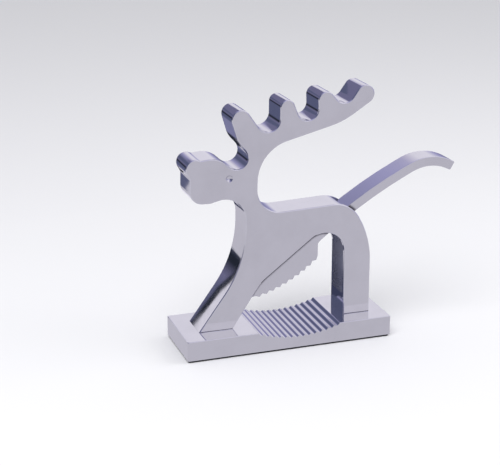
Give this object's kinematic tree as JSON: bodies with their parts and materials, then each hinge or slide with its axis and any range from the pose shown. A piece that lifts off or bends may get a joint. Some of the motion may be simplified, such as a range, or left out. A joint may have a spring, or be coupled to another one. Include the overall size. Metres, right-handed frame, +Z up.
{
  "type": "lever nutcracker",
  "caption": "Lever nutcracker in the outline of a moose: the tail is the handle of a toothed jaw that closes towards a ribbed trough in the base plate.",
  "frame": {"origin": "middle of the base plate's footprint, on the underside of the pad", "axes": "+X from the head towards the tail, +Y across the body to its far side, +Z up"},
  "size_m": [0.2238, 0.057, 0.1987],
  "materials": {
    "body_chrome": "mirror-polished plating, fine bevelled rims",
    "lever_chrome": "mirror-polished plating",
    "plate_chrome": "mirror-polished plating with plain ribs across the trough",
    "black_pad": "matte black foam rubber",
    "plain_steel": "turned steel, unplated"
  },
  "bodies": {
    "frame": {"base_plate": "plate_chrome", "base_pad": "black_pad", "body": "body_chrome", "pivot_pin": "plain_steel", "pivot_washer_near": "plain_steel", "pivot_washer_far": "plain_steel", "foot_screw_1": "plain_steel", "foot_screw_2": "plain_steel", "foot_screw_3": "plain_steel", "foot_screw_4": "plain_steel"},
    "lever": {"lever": "lever_chrome"}
  },
  "joints": [
    {"name": "lever_hinge", "type": "hinge", "parent": "frame", "child": "lever", "pos_m": [-0.0355, 0, 0.045], "axis": [0, 1, 0], "range_deg": [-3, 36]}
  ]
}
